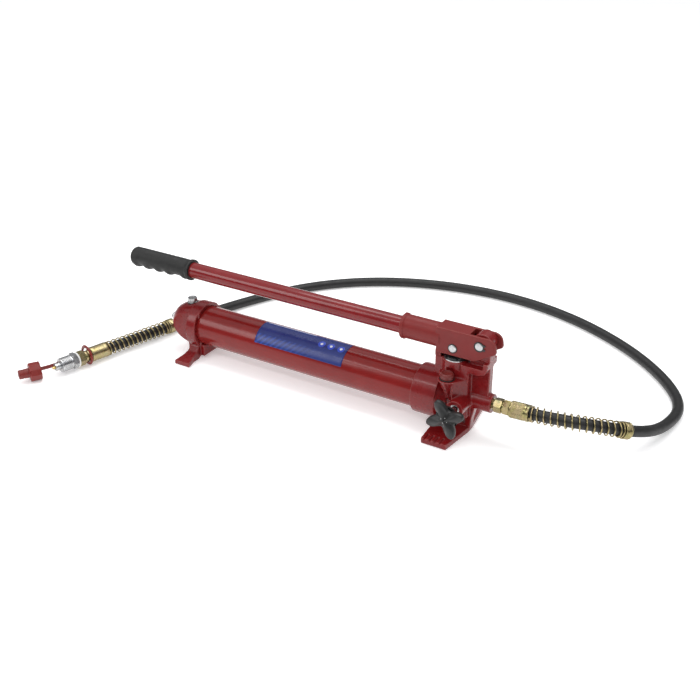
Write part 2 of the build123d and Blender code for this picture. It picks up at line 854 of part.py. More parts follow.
# dust cap, lying before the coupler with a flat on the floor
cap_flat = 13.4  # from its axis to each of its ten flats
cap_front = -9.5  # its rim, its back and its stem's end, from the middle of its body
cap_back = 7.0
cap_tail = 22.5
cap_floor = 3.0  # thickness behind its cavity
cap_dir = Vector(-0.529, -0.848, 0).normalized()
cap_plane = Plane(origin=(-584.8, -202.4, cap_flat + 0.1), x_dir=(0, 0, 1), z_dir=cap_dir)
with BuildPart() as dust_cap:
    with BuildSketch(cap_plane.offset(cap_front)):
        RegularPolygon(cap_flat, 10, major_radius=False, rotation=18)
    extrude(amount=cap_back - cap_front)
    with BuildSketch(cap_plane.offset(cap_back)):
        Circle(7.0)
    extrude(amount=cap_tail - cap_back)
    with BuildSketch(cap_plane.offset(cap_front)):
        Circle(11.2)
    extrude(amount=cap_back - cap_floor - cap_front, mode=Mode.SUBTRACT)
save(dust_cap, "dust_cap")

level_dir = Vector(tail_dir.X, tail_dir.Y, 0)
strap_plane = Plane(origin=(tail_start.X, tail_start.Y, 9), x_dir=level_dir, z_dir=(0, 0, 1))
strap_start = strap_plane.from_local_coords((148.8, -12, 0))
strap_next = strap_plane.from_local_coords((161, -17.5, 0))
with BuildPart() as cap_strap:
    with BuildLine(strap_plane):
        FilletPolyline((148.8, -12), (161, -17.5), (196, -18.5), (218.3, -23), radius=8)
    with BuildSketch(Plane(strap_start, x_dir=(0, 0, 1), z_dir=strap_next - strap_start)):
        Rectangle(6, 2.4)
    sweep()
save(cap_strap, "cap_strap")
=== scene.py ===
"""Visual model of the hydraulic hand pump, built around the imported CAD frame. Metres."""

import math

import bmesh
import bpy
import numpy as np
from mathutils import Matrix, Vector


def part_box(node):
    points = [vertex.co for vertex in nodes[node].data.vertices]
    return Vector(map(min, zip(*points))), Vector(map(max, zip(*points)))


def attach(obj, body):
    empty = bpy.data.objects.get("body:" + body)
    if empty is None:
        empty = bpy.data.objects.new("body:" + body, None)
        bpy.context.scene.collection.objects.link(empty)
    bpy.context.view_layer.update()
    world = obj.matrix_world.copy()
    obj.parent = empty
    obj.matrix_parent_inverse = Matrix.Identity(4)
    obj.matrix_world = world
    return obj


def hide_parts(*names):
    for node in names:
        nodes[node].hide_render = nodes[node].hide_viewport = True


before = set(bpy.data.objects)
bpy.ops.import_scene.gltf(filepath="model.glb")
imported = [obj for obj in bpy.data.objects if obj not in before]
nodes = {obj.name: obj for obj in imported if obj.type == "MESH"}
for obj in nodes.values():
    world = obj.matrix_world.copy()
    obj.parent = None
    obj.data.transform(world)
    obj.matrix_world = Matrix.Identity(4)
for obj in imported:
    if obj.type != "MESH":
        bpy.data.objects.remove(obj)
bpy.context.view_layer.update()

MM = 0.001
X_AXIS = (1.0, 0.0, 0.0)
Z_AXIS = (0.0, 0.0, 1.0)

# --- camera -----------------------------------------------------------------------------
camera = bpy.data.objects.new("camera", bpy.data.cameras.new("camera"))
bpy.context.scene.collection.objects.link(camera)
camera.data.sensor_width = 36.0
camera.data.lens = 51.38
camera.data.shift_x = -0.0110
camera.data.shift_y = -0.0021
camera.location = (0.477233, -1.062000, 0.737279)
camera.rotation_mode = "QUATERNION"
camera.rotation_quaternion = Vector((-0.44891, 0.75888, -0.47177)).to_track_quat("-Z", "Y")
camera.data.clip_end = 60.0
bpy.context.scene.camera = camera
bpy.context.scene.view_settings.view_transform = "Standard"


# --- mesh helpers -----------------------------------------------------------------------
def finished(name, verts, faces, material, crease=38.0, uv=None):
    """A mesh object with smooth faces, sharp where they meet at more than crease degrees."""
    mesh = bpy.data.meshes.new(name)
    mesh.from_pydata([tuple(v) for v in verts], [], [tuple(f) for f in faces])
    mesh.validate()
    work = bmesh.new()
    work.from_mesh(mesh)
    bmesh.ops.recalc_face_normals(work, faces=work.faces)
    work.to_mesh(mesh)
    work.free()
    mesh.shade_smooth()
    mesh.set_sharp_from_angle(angle=math.radians(crease))
    mesh.materials.append(material)
    if uv is not None:
        layer = mesh.uv_layers.new(name="sheet")
        for loop in mesh.loops:
            layer.data[loop.index].uv = uv[loop.vertex_index]
    piece = bpy.data.objects.new(name, mesh)
    bpy.context.scene.collection.objects.link(piece)
    return piece


def across(axis, up):
    """Two directions square to an axis and to each other; the second is nearest to up."""
    axis = np.array(axis, float) / np.linalg.norm(axis)
    second = np.array(up, float) - axis * np.dot(axis, up)
    second /= np.linalg.norm(second)
    return axis, np.cross(second, axis), second


def row_faces(rows, around, ring=False, ends=False):
    """Faces joining rows of points that each go round once.

    A ring's last row joins its first; ends closes the first and the last row instead."""
    faces = []
    for i in range(rows if ring else rows - 1):
        j = (i + 1) % rows
        for k in range(around):
            n = (k + 1) % around
            faces.append((i * around + k, i * around + n, j * around + n, j * around + k))
    if ends:
        faces.append(tuple(range(around)))
        faces.append(tuple((rows - 1) * around + k for k in range(around)))
    return faces


def turned(name, origin, axis, profile, material, shape=None, around=96, up=Z_AXIS,
           ring=False, crease=38.0):
    """A solid of revolution from a profile of (distance along, radius) pairs in mm.

    shape(along, radius, angle) may change the radius round the axis. A ring's profile closes
    on itself; any other one is closed by its two end faces."""
    axis, first, second = across(axis, up)
    along = np.array([p[0] for p in profile], float)
    radius = np.array([p[1] for p in profile], float)
    angle = np.linspace(0, 2 * math.pi, around, endpoint=False)
    s, a = np.meshgrid(along, angle, indexing="ij")
    r = np.repeat(radius[:, None], around, axis=1)
    if shape:
        r = shape(s, r, a)
    points = (
        np.array(origin, float)
        + s[..., None] * MM * axis
        + (r * np.cos(a))[..., None] * MM * first
        + (r * np.sin(a))[..., None] * MM * second
    )
    faces = row_faces(len(profile), around, ring=ring, ends=not ring)
    return finished(name, points.reshape(-1, 3), faces, material, crease)


def steps(start, end, size):
    """Evenly spaced values from start to end, no further apart than size."""
    return np.linspace(start, end, max(2, int(math.ceil(abs(end - start) / size)) + 1))


def hexagonal(flats, start, end, chamfer=0.09, turn=0.0):
    """A shape for turned(): a hexagon over the flats, its corners cut back at both ends."""
    half = flats / 2

    def shape(s, r, a):
        flat = half / np.cos((a + turn) % (math.pi / 3) - math.pi / 6)
        inside = np.minimum(s - start, end - s)
        cut = half * (1 + chamfer * 0.25) + np.clip(inside, 0, None) * 1.7
        return np.where(inside >= -1e-6, np.minimum(flat, cut), r)

    return shape


def hex_profile(start, end):
    """Rows for a hexagon in turned(), close together at its ends; their radius is a mark only."""
    places = [start + step for step in (0, 0.5, 1.0, 1.5)] + [end - step for step in (1.5, 1.0, 0.5, 0)]
    return [(s, 1.0) for s in places]


def hexagon_only(flats, start, end):
    """hexagonal(), changing only the rows that hex_profile makes."""
    whole = hexagonal(flats, start, end)
    return lambda s, r, a: np.where((r > 0.9) & (r < 1.1), whole(s, r, a), r)


def thread(start, end, pitch, depth):
    """A shape for turned(): a helical thread cut into a bar between two places."""

    def shape(s, r, a):
        turn = (s / pitch - a / (2 * math.pi)) % 1.0
        cut = depth * (1 - np.abs(2 * turn - 1)) ** 0.8
        inside = np.clip(np.minimum(s - start, end - s) / (0.8 * pitch), 0, 1)
        return r - cut * inside

    return shape


class Path:
    """Points along a line, with a frame at each distance that doesn't twist."""

    def __init__(self, points):
        self.points = np.array(points, float)
        runs = np.linalg.norm(np.diff(self.points, axis=0), axis=1)
        self.along = np.concatenate([[0.0], np.cumsum(runs)])
        self.length = self.along[-1]

    def at(self, s):
        """The point at each distance s."""
        return np.array([np.interp(s, self.along, self.points[:, k]) for k in range(3)]).T

    def heading(self, s):
        """The unit direction of the line, taken over 2 mm each way."""
        step = 2 * MM
        ahead = self.at(np.minimum(s + step, self.length))
        run = ahead - self.at(np.maximum(s - step, 0))
        return run / np.linalg.norm(run, axis=-1, keepdims=True)


def helix(name, path, start, end, radius, wire, turns, closed_turns, material):
    """A round-wire spring along a path, with its end turns closed up. Distances in metres."""
    per_turn, sides = 28, 10
    count = int(turns * per_turn)
    t = np.linspace(0, turns, count + 1)
    # distance along the path: the closed turns at both ends advance by a wire each
    closed = closed_turns * wire * 1.05
    first, last = start + wire / 2, end - wire / 2
    s = np.interp(t, [0, closed_turns, turns - closed_turns, turns],
                  [first, first + closed, last - closed, last])
    centre = path.at(s)
    head = path.heading(s)
    side = np.cross(head, Z_AXIS)
    side /= np.linalg.norm(side, axis=1, keepdims=True)
    top = np.cross(side, head)
    a = -2 * math.pi * t[:, None]
    out = side * np.cos(a) + top * np.sin(a)
    line = centre + out * radius
    run = np.gradient(line, axis=0)
    run /= np.linalg.norm(run, axis=1, keepdims=True)
    third = np.cross(run, out)
    b = np.linspace(0, 2 * math.pi, sides, endpoint=False)
    verts = (
        line[:, None, :]
        + (wire / 2) * np.cos(b)[None, :, None] * out[:, None, :]
        + (wire / 2) * np.sin(b)[None, :, None] * third[:, None, :]
    ).reshape(-1, 3)
    return finished(name, verts, row_faces(count + 1, sides, ends=True), material, crease=60.0)


def casting(name, node, material, voxel=0.0008, passes=6, factor=0.5):
    """A CAD node's shape with its edges and corners softened as a casting's are."""
    source = nodes[node]
    mesh = source.data.copy()
    work = bmesh.new()
    work.from_mesh(mesh)
    bmesh.ops.remove_doubles(work, verts=work.verts, dist=2e-6)
    work.to_mesh(mesh)
    work.free()
    rough = bpy.data.objects.new(name + "_rough", mesh)
    bpy.context.scene.collection.objects.link(rough)
    remesh = rough.modifiers.new("remesh", "REMESH")
    remesh.mode = "VOXEL"
    remesh.voxel_size = voxel
    smooth = rough.modifiers.new("smooth", "SMOOTH")
    smooth.factor = factor
    smooth.iterations = passes
    bpy.context.view_layer.update()
    final = bpy.data.meshes.new_from_object(
        rough.evaluated_get(bpy.context.evaluated_depsgraph_get())
    )
    bpy.data.objects.remove(rough)
    final.name = name
    final.shade_smooth()
    final.materials.clear()
    final.materials.append(material)
    piece = bpy.data.objects.new(name, final)
    bpy.context.scene.collection.objects.link(piece)
    return piece


def place(piece, body, slot, *replaced):
    """Rides a piece on its body and hides the CAD nodes it stands for; slot is not used."""
    if replaced:
        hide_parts(*replaced)
    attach(piece, body)
    return piece


# --- materials --------------------------------------------------------------------------
class Shader:
    """A node material on object coordinates, put together from a few short calls."""

    def __init__(self, name):
        self.material = bpy.data.materials.new(name)
        self.material.use_nodes = True
        self.tree = self.material.node_tree
        self.bsdf = self.tree.nodes["Principled BSDF"]
        self.coords = self.tree.nodes.new("ShaderNodeTexCoord").outputs["Object"]

    def link(self, source, target):
        self.tree.links.new(source, target)

    def set(self, **values):
        for key, value in values.items():
            self.bsdf.inputs[key.replace("_", " ")].default_value = value

    def stretched(self, x, y, z):
        """The coordinates, scaled by a factor in each direction."""
        node = self.tree.nodes.new("ShaderNodeMapping")
        node.inputs["Scale"].default_value = (x, y, z)
        self.link(self.coords, node.inputs["Vector"])
        return node.outputs["Vector"]

    def noise(self, scale, detail=3.0, rough=0.55, coords=None, warp=0.0):
        node = self.tree.nodes.new("ShaderNodeTexNoise")
        node.inputs["Scale"].default_value = scale
        node.inputs["Detail"].default_value = detail
        node.inputs["Roughness"].default_value = rough
        node.inputs["Distortion"].default_value = warp
        self.link(coords or self.coords, node.inputs["Vector"])
        return node.outputs["Fac"]

    def ramp(self, fac, *stops):
        """stops are (position, value or colour)."""
        node = self.tree.nodes.new("ShaderNodeValToRGB")
        ramp = node.color_ramp
        while len(ramp.elements) < len(stops):
            ramp.elements.new(0.5)
        for element, (position, value) in zip(ramp.elements, stops):
            element.position = position
            element.color = (value,) * 3 + (1.0,) if isinstance(value, float) else (*value, 1.0)
        self.link(fac, node.inputs["Fac"])
        return node.outputs["Color"]

    def calc(self, operation, a, b=0.0, clamp=False):
        node = self.tree.nodes.new("ShaderNodeMath")
        node.operation = operation
        node.use_clamp = clamp
        for socket, value in zip(node.inputs, (a, b)):
            if isinstance(value, (int, float)):
                socket.default_value = value
            else:
                self.link(value, socket)
        return node.outputs[0]

    def mix(self, fac, a, b):
        """Colour a where fac is 0 and b where it is 1."""
        node = self.tree.nodes.new("ShaderNodeMix")
        node.data_type = "RGBA"
        self.link(fac, node.inputs["Factor"])
        for socket, value in zip((node.inputs[6], node.inputs[7]), (a, b)):
            if isinstance(value, tuple):
                socket.default_value = (*value, 1.0)
            else:
                self.link(value, socket)
        return node.outputs[2]

    def pointiness(self):
        return self.tree.nodes.new("ShaderNodeNewGeometry").outputs["Pointiness"]

    def bump(self, height, distance, below=None):
        node = self.tree.nodes.new("ShaderNodeBump")
        node.inputs["Strength"].default_value = 1.0
        node.inputs["Distance"].default_value = distance
        self.link(height, node.inputs["Height"])
        if below is not None:
            self.link(below, node.inputs["Normal"])
        return node.outputs["Normal"]

    def finish(self, colour, rough=None, normal=None):
        self.link(colour, self.bsdf.inputs["Base Color"])
        if rough is not None:
            self.link(rough, self.bsdf.inputs["Roughness"])
        if normal is not None:
            self.link(normal, self.bsdf.inputs["Normal"])
        return self.material


def shade(colour, by):
    """A colour made darker or lighter."""
    return tuple(min(1.0, c * by) for c in colour)


def paint(name, colour, rough, coat, peel, grit, pale, edge=0.0):
    """Sprayed paint: uneven film, orange peel over the surface below, pale worn edges, dust."""
    s = Shader(name)
    film = s.ramp(s.noise(22.0, 5.0, 0.6), (0.3, shade(colour, 0.86)), (0.7, shade(colour, 1.12)))
    if edge:
        worn = s.ramp(s.pointiness(), (0.515, 0.0), (0.56, edge))
        broken = s.ramp(s.noise(260.0, 4.0, 0.7), (0.35, 0.35), (0.62, 1.0))
        film = s.mix(s.calc("MULTIPLY", worn, broken), film, pale)
    specks = s.ramp(s.noise(900.0, 2.0, 0.5), (0.735, 0.0), (0.76, 0.55))
    film = s.mix(specks, film, shade(colour, 0.45))
    gloss = s.ramp(s.noise(60.0, 4.0, 0.65), (0.3, rough[0]), (0.72, rough[1]))
    below = s.bump(s.noise(170.0, 4.0, 0.6), grit)
    normal = s.bump(s.noise(420.0, 2.0, 0.5), peel, below)
    s.set(Coat_Weight=coat, Coat_Roughness=0.08, Specular_IOR_Level=0.30)
    return s.finish(film, gloss, normal)


def plated(name, colours, rough, scratch=0.00001, scale=90.0, stained=0.3):
    """Bright metal plating: uneven tint, hazy patches and fine handling marks."""
    s = Shader(name)
    stops = [(0.3 + 0.4 * k / max(1, len(colours) - 1), c) for k, c in enumerate(colours)]
    tint = s.ramp(s.noise(scale, 4.0, 0.6, warp=0.6), *stops)
    stain = s.ramp(s.noise(480.0, 3.0, 0.6), (0.3, stained), (0.5, 0.0))
    tint = s.mix(stain, tint, shade(colours[0], 0.45))
    haze = s.ramp(s.noise(150.0, 4.0, 0.6), (0.3, rough[0]), (0.7, rough[1]))
    marks = s.noise(240.0, 3.0, 0.6, s.stretched(1.0, 9.0, 9.0))
    s.set(Metallic=1.0)
    return s.finish(tint, haze, s.bump(marks, scratch))


def moulded(name, colour, rough, grain, depth, dust=0.12):
    """Moulded rubber or plastic: fine grain, faint bloom and flow marks."""
    s = Shader(name)
    dusty = shade(colour, 1.0 + dust * 3)
    bloom = s.ramp(s.noise(35.0, 5.0, 0.65), (0.35, shade(colour, 0.8)), (0.75, dusty))
    matt = s.ramp(s.noise(90.0, 4.0, 0.6), (0.3, rough[0]), (0.7, rough[1]))
    coarse = s.bump(s.noise(grain * 0.3, 3.0, 0.6), depth * 1.5)
    return s.finish(bloom, matt, s.bump(s.noise(grain, 2.0, 0.5), depth, coarse))


WORN_RED = (0.36, 0.10, 0.09)
red_head = paint("red_head", (0.190, 0.0070, 0.0080), (0.20, 0.34), 0.20, 0.000030, 0.00018,
                 WORN_RED, edge=0.75)
red_tube = paint("red_tube", (0.205, 0.0095, 0.0085), (0.16, 0.25), 0.10, 0.000010, 0.000015, WORN_RED)
red_handle = paint("red_handle", (0.195, 0.010, 0.012), (0.12, 0.17), 0.22, 0.000008, 0.00001, WORN_RED)
red_yoke = paint("red_yoke", (0.185, 0.0150, 0.0140), (0.36, 0.52), 0.03, 0.00003, 0.00010,
                 (0.34, 0.10, 0.085), edge=0.6)
zinc = plated("zinc", [(0.36, 0.36, 0.36), (0.50, 0.50, 0.50), (0.43, 0.44, 0.46)], (0.20, 0.38))
bright = plated("bright", [(0.58, 0.58, 0.58), (0.68, 0.68, 0.68)], (0.16, 0.30))
yellow_zinc = plated("yellow_zinc", [(0.25, 0.24, 0.11), (0.34, 0.29, 0.13), (0.38, 0.30, 0.17),
                                     (0.30, 0.29, 0.15)], (0.20, 0.36), stained=0.06)
spring_wire = plated("wire", [(0.26, 0.22, 0.10), (0.37, 0.30, 0.15), (0.42, 0.32, 0.19)], (0.22, 0.4),
                     scale=60.0, stained=0.2)
steel = plated("steel", [(0.45, 0.45, 0.46), (0.58, 0.58, 0.58)], (0.25, 0.4))
brass = plated("brass", [(0.62, 0.42, 0.14), (0.78, 0.56, 0.22)], (0.22, 0.34))
hose_rubber = moulded("hose_rubber", (0.0055, 0.0055, 0.0055), (0.42, 0.58), 1500.0, 0.00003)
grip_rubber = moulded("grip_rubber", (0.0070, 0.0070, 0.0065), (0.52, 0.70), 1700.0, 0.00004, dust=0.2)
seal_rubber = moulded("seal_rubber", (0.012, 0.012, 0.012), (0.5, 0.65), 1200.0, 0.00002)
knob_plastic = moulded("knob_plastic", (0.010, 0.010, 0.010), (0.33, 0.46), 900.0, 0.000025)
black_oxide = moulded("black_oxide", (0.012, 0.012, 0.013), (0.3, 0.45), 1100.0, 0.00002)
red_soft = moulded("red_soft", (0.20, 0.013, 0.009), (0.34, 0.50), 900.0, 0.00003, dust=0.06)
red_cap = moulded("red_cap", (0.155, 0.016, 0.013), (0.38, 0.55), 700.0, 0.00004, dust=0.06)
white_plastic = moulded("white_plastic", (0.72, 0.72, 0.71), (0.35, 0.5), 800.0, 0.00002, dust=0.04)


def label_material(length, height):
    """Printed film: dark blue, paler slanting bars that fade out, three plain dots and a thin rule."""
    s = Shader("label_print")
    node = s.tree.nodes.new("ShaderNodeUVMap")
    node.uv_map = "sheet"
    split = s.tree.nodes.new("ShaderNodeSeparateXYZ")
    s.link(node.outputs["UV"], split.inputs[0])
    u = s.calc("MULTIPLY", split.outputs["X"], length)  # millimetres from the left edge
    v = s.calc("MULTIPLY", split.outputs["Y"], height)  # millimetres from the lower edge

    def between(value, low, high):
        """1 between low and high, 0 elsewhere."""
        return s.calc("MULTIPLY", s.calc("GREATER_THAN", value, low), s.calc("LESS_THAN", value, high))

    def squared(value, centre):
        """The square of a value's distance from a centre."""
        return s.calc("POWER", s.calc("ABSOLUTE", s.calc("SUBTRACT", value, centre)), 2.0)

    lean, pitch, bar_top = 0.87, 8.7, 15.0
    fade_start, fade_length = 35.0, 75.0
    upright = s.calc("SUBTRACT", u, s.calc("MULTIPLY", v, lean))
    phase = s.calc("FRACT", s.calc("DIVIDE", upright, pitch))
    bars = s.ramp(phase, (0.0, 1.0), (0.40, 1.0), (0.44, 0.0), (0.97, 0.0))
    low = s.calc("LESS_THAN", v, bar_top)
    faded = s.calc("DIVIDE", s.calc("SUBTRACT", u, fade_start), fade_length, clamp=True)
    fade = s.calc("SUBTRACT", 1.0, faded, clamp=True)
    bars = s.calc("MULTIPLY", s.calc("MULTIPLY", bars, low), fade)
    ground = s.ramp(s.noise(30.0, 3.0), (0.3, (0.018, 0.029, 0.155)), (0.7, (0.022, 0.036, 0.185)))
    print_colour = s.mix(bars, ground, (0.026, 0.060, 0.300))
    dot_height, dot_radius, core_radius = 25.5, 5.6, 2.1
    for centre in (106.0, 121.5, 138.0):
        distance = s.calc("SQRT", s.calc("ADD", squared(u, centre), squared(v, dot_height)))
        print_colour = s.mix(s.calc("LESS_THAN", distance, dot_radius), print_colour, (0.045, 0.085, 0.52))
        print_colour = s.mix(s.calc("LESS_THAN", distance, core_radius), print_colour, (0.75, 0.76, 0.80))
    rule = s.calc("MULTIPLY", between(v, height - 3.2, height - 1.6), between(u, 5.0, 88.0))
    print_colour = s.mix(rule, print_colour, (0.62, 0.66, 0.80))
    gloss = s.ramp(s.noise(80.0, 3.0), (0.3, 0.24), (0.7, 0.36))
    s.set(Coat_Weight=0.08, Coat_Roughness=0.12, Specular_IOR_Level=0.3)
    return s.finish(print_colour, gloss, s.bump(s.noise(300.0, 2.0), 0.00001))


# the look of each CAD node that is drawn as it is
for node_name, look in {
    "reservoir_tube": red_tube, "handle_tube": red_handle, "front_gasket": seal_rubber,
    "rear_gasket": seal_rubber, "tie_rod": steel, "tie_rod_washer": zinc,
    "filler_seal": seal_rubber, "suction_pipe": steel, "suction_plug": zinc,
    "suction_seat": steel, "suction_ball": bright, "discharge_plug": zinc,
    "discharge_ball": bright, "discharge_spring": steel, "relief_ball": bright,
    "relief_spring": steel, "relief_screw": steel, "relief_seal": seal_rubber,
    "plunger_seal": seal_rubber, "gland_washer": bright, "gland_nut": black_oxide,
    "plunger": bright, "circlips": black_oxide, "release_spindle": bright,
    "release_ring": seal_rubber, "outlet_seal": steel, "coupler_poppet": brass,
    "coupler_washer": white_plastic,
}.items():
    mesh = nodes[node_name].data
    if not mesh.materials:
        mesh.materials.append(look)
    for held in nodes[node_name].material_slots:
        held.material = look

# --- hose -------------------------------------------------------------------------------
HOSE_RADIUS = 7.75 * MM
tail_start = Vector((-512.4, 16, 11.8))
tail_dir = Vector((-0.2586, -0.9658, 0.0177)).normalized()
hose_route = [
    Vector((109, 0, 52)),
    Vector((152, 3, 53.5)),
    Vector((199, 24, 47.5)),
    Vector((238, 66, 28.5)),
    Vector((255, 122, 10.5)),
    Vector((262, 190, 8)),
    Vector((220, 258, 8)),
    Vector((140, 328, 8)),
    Vector((30, 384, 8)),
    Vector((-90, 407, 8)),
    Vector((-212, 392, 8)),
    Vector((-322, 345, 8)),
    Vector((-408, 268, 8)),
    Vector((-462, 170, 8)),
    Vector((-496, 70, 10.5)),
    tail_start + tail_dir * 37,
    tail_start + tail_dir * 128,
]


def hose_curve(name, bevel):
    """The hose's route as a smooth curve, solid where it is given a radius."""
    curve = bpy.data.curves.new(name, "CURVE")
    curve.dimensions = "3D"
    curve.resolution_u = 24
    spline = curve.splines.new("NURBS")
    spline.points.add(len(hose_route) - 1)
    for point, spot in zip(spline.points, hose_route):
        point.co = (*(spot * MM), 1.0)
    spline.order_u = 3
    spline.use_endpoint_u = True
    spline.use_smooth = True
    if bevel:
        curve.bevel_depth = bevel
        curve.bevel_resolution = 10
        curve.use_fill_caps = True
    return bpy.data.objects.new(name, curve)


hose = hose_curve("hose_line", HOSE_RADIUS)
hose.data.materials.append(hose_rubber)
bpy.context.scene.collection.objects.link(hose)

bare = hose_curve("route", 0.0)
bpy.context.scene.collection.objects.link(bare)
bpy.context.view_layer.update()
line_mesh = bpy.data.meshes.new_from_object(bare.evaluated_get(bpy.context.evaluated_depsgraph_get()))
route = Path([tuple(v.co) for v in line_mesh.vertices])
bpy.data.objects.remove(bare)

# --- tail fittings, by their distance along the tail in mm -------------------------------
tail_origin = tail_start * MM


def tail_piece(name, profile, material, slot, *replaced, **more):
    """A turned piece on the tail's axis."""
    return place(turned(name, tail_origin, tail_dir, profile, material, **more), "root", slot, *replaced)


COLLAR_SHARE = 0.48  # where the outlet collar lies between the third and fourth points of the route
guard_wire = {"radius": 10.1 * MM, "wire": 2.1 * MM, "turns": 15.5, "closed_turns": 1.2,
              "material": spring_wire}
near = np.linspace(0.05, 0.20, 400)
collar_dir = hose_route[3] - hose_route[2]
collar_place = np.array(hose_route[2] + collar_dir * COLLAR_SHARE) * MM
outlet_guard_end = near[np.argmin(np.linalg.norm(route.at(near) - collar_place, axis=1))]
outlet_guard = place(
    helix("outlet_guard", route, 0.5 * MM, outlet_guard_end, **guard_wire),
    "root", "spring_steel", "outlet_spring",
)
tail_path = Path([tuple((tail_start + tail_dir * s) * MM) for s in (0, 40, 80, 120)])
tail_guard = place(
    helix("tail_guard", tail_path, 3 * MM, 116 * MM, **guard_wire),
    "root", "spring_steel", "tail_spring",
)

collar_profile = [
    (-8.0, 8.75), (-8.0, 10.6), (-7.4, 11.3), (-6.6, 11.6), (-5.2, 11.6), (-4.8, 11.2), (-4.2, 11.2),
    (-3.8, 11.6), (1.0, 11.6), (1.4, 11.3), (2.0, 11.6), (2.6, 11.5), (3.0, 11.0), (3.0, 8.75),
]
tail_collar = tail_piece(
    "tail_collar", collar_profile, yellow_zinc, "yellow_zinc", "tail_sleeve", ring=True,
)
outlet_collar = place(
    turned("outlet_collar", collar_place, collar_dir,
           [(3.0 - s, r - 0.7 * (r < 9)) for s, r in reversed(collar_profile)], yellow_zinc, ring=True),
    "root", "yellow_zinc", "outlet_sleeve",
)
tail_swage = tail_piece(
    "tail_swage",
    [(116.0, 8.2), (116.0, 10.9), (116.6, 11.4), (118.2, 11.5), (118.5, 11.1), (119.3, 11.1), (119.6, 11.5),
     (122.0, 11.2), (124.5, 11.5), (128.0, 11.15), (131.5, 11.5), (135.5, 11.2), (139.5, 11.5),
     (143.6, 11.5), (144.5, 11.1), (145.0, 10.4), (145.0, 8.2)],
    yellow_zinc, "yellow_zinc", "tail_ferrule", ring=True,
)

# each hexagon: width across its flats, start and end along its axis, mm
TAIL_NUT_HEX = (20.0, 155.0, 165.1)
BARREL_HEX = (22.0, 168.0, 175.8)
NIPPLE_HEX = (18.0, 60.0, 70.8)
SWIVEL_HEX = (19.0, 73.0, 81.9)
FILLER_HEX = (13.0, 80.4, 86.0)
ROD_NUT_HEX = (13.0, -482.1, -475.6)

tail_nut = tail_piece(
    "tail_nut",
    [(144.6, 8.1), (145.0, 8.5), (154.4, 8.5), (154.9, 8.2)] + hex_profile(*TAIL_NUT_HEX[1:])
    + [(165.5, 8.6)],
    yellow_zinc, "yellow_zinc", "tail_stem", shape=hexagonal(*TAIL_NUT_HEX), around=144,
)


def barrel_shape(s, r, a):
    """The coupler's hexagon, then its thread."""
    r = hexagonal(*BARREL_HEX)(s, r, a)
    return thread(178.0, 194.0, pitch=1.8, depth=0.7)(s, r, a)


coupler_barrel = tail_piece(
    "coupler_barrel",
    hex_profile(*BARREL_HEX[1:]) + [(176.0, 10.0), (177.5, 10.0), (177.9, 11.0)]
    + [(s, 11.0) for s in steps(178.1, 193.6, 0.3)]
    + [(193.9, 10.8), (194.3, 10.3), (194.3, 5.6), (198.6, 5.6), (198.8, 5.1), (199.6, 5.1), (199.8, 5.6),
       (202.4, 5.6), (203.0, 5.0), (203.0, 2.6), (202.6, 2.2), (190.0, 2.2)],
    zinc, "zinc", "coupler_body", shape=barrel_shape, around=144,
)

# dust cap: a faceted shell with a plug on its back, lying with a flat on the floor
CAP_SIDES = 10
cap_origin = Vector((-584.8, -202.4, 13.5)) * MM
cap_dir = Vector((-0.529, -0.848, 0)).normalized()


def cap_shape(s, r, a):
    """Facets on the dust cap's outer wall only."""
    step = 2 * math.pi / CAP_SIDES
    flat = r / np.cos(a % step - step / 2)
    blend = np.clip((r - 12.0) / 1.2, 0, 1) * (s < 6.9)
    return r * (1 - blend) + flat * blend


cap_shell = place(
    turned("cap_shell", cap_origin, cap_dir,
           [(-9.1, 11.2), (-9.5, 11.8), (-9.4, 13.0), (-8.7, 13.4), (-7.3, 13.4), (-7.0, 13.1),
            (-5.9, 13.1), (-5.5, 13.4), (5.6, 13.4), (6.6, 13.0), (7.0, 12.0), (7.2, 8.0), (7.9, 7.3),
            (14.5, 7.0), (15.0, 6.6), (15.9, 6.6), (16.4, 7.0), (21.5, 6.8), (22.3, 6.1), (22.5, 4.8),
            (20.0, 4.4), (20.0, 0.05), (4.0, 0.05), (4.0, 10.6), (3.2, 11.2)],
           red_soft, shape=cap_shape, ring=True, around=120, crease=25.0),
    "root", "red_plastic", "dust_cap",
)
LOOP_ALONG = 148.8
ring_profile = [
    (LOOP_ALONG + 1.5 * math.cos(turn), 13.05 + 2.65 * math.sin(turn))
    for turn in np.arange(16) * math.pi / 8
]
cap_loop = place(
    turned("cap_loop", tail_origin + Vector((0, 0, 1.7)) * MM, tail_dir, ring_profile, red_soft, ring=True),
    "root", "red_plastic", "cap_ring",
)


def strap(name, points, width, thick, material):
    """A flat band along points, its edges rounded, standing upright."""
    line = Path(points)
    s = np.linspace(0, line.length, 60)
    centre, head = line.at(s), line.heading(s)
    side = np.cross(head, Z_AXIS)
    count = 12
    b = np.linspace(0, 2 * math.pi, count, endpoint=False)
    c, d = np.cos(b), np.sin(b)
    c = np.sign(c) * np.abs(c) ** 0.5 * thick / 2
    d = np.sign(d) * np.abs(d) ** 0.5 * width / 2
    verts = (centre[:, None, :] + c[None, :, None] * side[:, None, :]
             + d[None, :, None] * np.array(Z_AXIS)).reshape(-1, 3)
    return finished(name, verts, row_faces(len(s), count, ends=True), material, crease=50.0)


